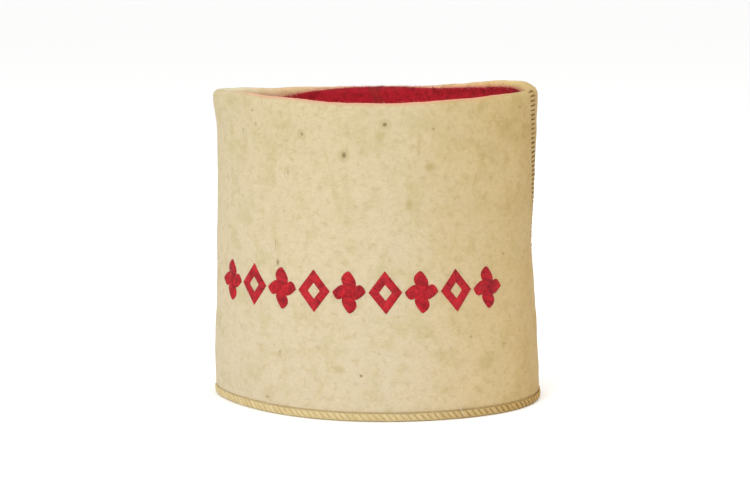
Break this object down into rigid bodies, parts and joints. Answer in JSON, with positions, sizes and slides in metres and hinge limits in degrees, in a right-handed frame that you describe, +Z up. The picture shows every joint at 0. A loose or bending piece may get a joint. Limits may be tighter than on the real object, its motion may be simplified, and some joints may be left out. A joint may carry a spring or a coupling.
{
  "type": "papakha",
  "caption": "Tall oval felt papakha for the steam bath: cream felt band rolled in at the rim, red felt crown sunk inside, overcast hem and side seam, embroidered front.",
  "frame": {"origin": "middle of the bounding box, on the surface that the hat stands on", "axes": "+Z up, +X towards the wearer's left, which is the right in a view of the front, and the embroidered front faces -Y"},
  "size_m": [0.2195, 0.156, 0.21],
  "materials": {
    "cream_felt": "matte, hairy felt",
    "red_felt": "matte, hairy felt",
    "cream_thread": "satin",
    "red_thread": "satin"
  },
  "bodies": {
    "root": {"felt_band": "cream_felt", "sunk_crown": "red_felt", "hem_stitching": "cream_thread", "side_seam_stitching": "cream_thread", "embroidery_leaf_cross_1": "red_thread", "embroidery_lozenge_2": "red_thread", "embroidery_leaf_cross_3": "red_thread", "embroidery_lozenge_4": "red_thread", "embroidery_leaf_cross_5": "red_thread", "embroidery_lozenge_6": "red_thread", "embroidery_leaf_cross_7": "red_thread", "embroidery_lozenge_8": "red_thread", "embroidery_leaf_cross_9": "red_thread"}
  },
  "joints": []
}
